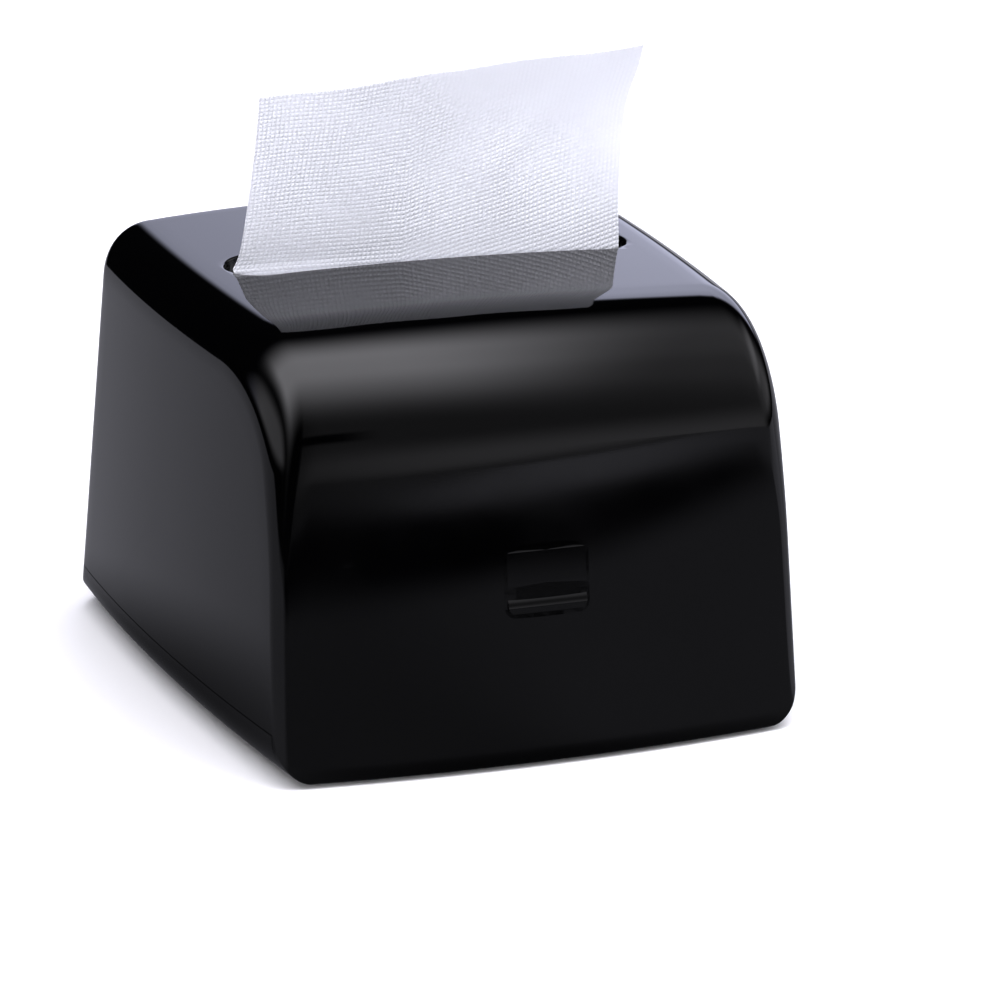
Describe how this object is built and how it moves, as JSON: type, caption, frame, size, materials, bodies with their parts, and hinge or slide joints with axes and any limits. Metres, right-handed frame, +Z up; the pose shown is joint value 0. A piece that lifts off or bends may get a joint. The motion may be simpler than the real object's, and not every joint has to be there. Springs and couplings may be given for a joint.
{
  "type": "tabletop napkin dispenser",
  "caption": "Tabletop napkin dispenser: black gloss cover with a top slot, hinged at the back of a tray and latched in front, with napkins on a sprung plate.",
  "frame": {"origin": "bottom centre of the box round the whole object, on the surface that it stands on", "axes": "+Z up, front with the latch towards -Y, hinge towards +Y, +X to the right of a person facing the front"},
  "size_m": [0.197, 0.2054, 0.2],
  "materials": {
    "gloss_black": "polished injection-moulded black ABS",
    "tray_black": "black ABS, slightly less polished than the cover",
    "inner_black": "fine spark-textured black plastic",
    "bright_steel": "drawn bright steel",
    "spring_steel": "drawn spring wire",
    "screw_steel": "zinc plated",
    "foot_rubber": "matt moulded rubber",
    "napkin_paper": "white one-ply embossed tissue"
  },
  "bodies": {
    "base": {"base_tray": "tray_black", "catch_plate": "bright_steel", "magazine": "inner_black", "lift_spring_left": "spring_steel", "lift_spring_right": "spring_steel", "catch_screw_left": "screw_steel", "catch_screw_right": "screw_steel", "foot_front_left": "foot_rubber", "magazine_screw_front_left": "screw_steel", "foot_back_left": "foot_rubber", "magazine_screw_back_left": "screw_steel", "foot_front_right": "foot_rubber", "magazine_screw_front_right": "screw_steel", "foot_back_right": "foot_rubber", "magazine_screw_back_right": "screw_steel"},
    "cover": {"cover": "gloss_black", "latch_pin": "bright_steel", "hinge_pin_left": "bright_steel", "hinge_pin_right": "bright_steel"},
    "latch": {"latch_tab": "gloss_black", "latch_spring": "spring_steel"},
    "plate": {"pressure_plate": "inner_black", "napkin_stack": "napkin_paper"},
    "sheet": {"napkin_sheet": "napkin_paper"}
  },
  "joints": [
    {"name": "cover_hinge", "type": "hinge", "parent": "base", "child": "cover", "pos_m": [0, 0.09966, 0.0162], "axis": [-1, 0, 0], "range_deg": [0, 80]},
    {"name": "latch_pull", "type": "hinge", "parent": "cover", "child": "latch", "pos_m": [0, -0.08922, 0.06414], "axis": [-1, 0, 0], "range_deg": [0, 8], "stiffness_Nm_per_rad": 0.05, "springref_deg": -17.19},
    {"name": "plate_lift", "type": "slide", "parent": "base", "child": "plate", "axis": [0, 0, 1], "range_m": [-0.04, 0], "stiffness_N_per_m": 120, "springref_m": 0.03, "deforming": ["lift_spring_left", "lift_spring_right"]},
    {"name": "napkin_pull", "type": "slide", "parent": "cover", "child": "sheet", "axis": [0, -0.1045, 0.9945], "range_m": [0, 0.09]}
  ]
}
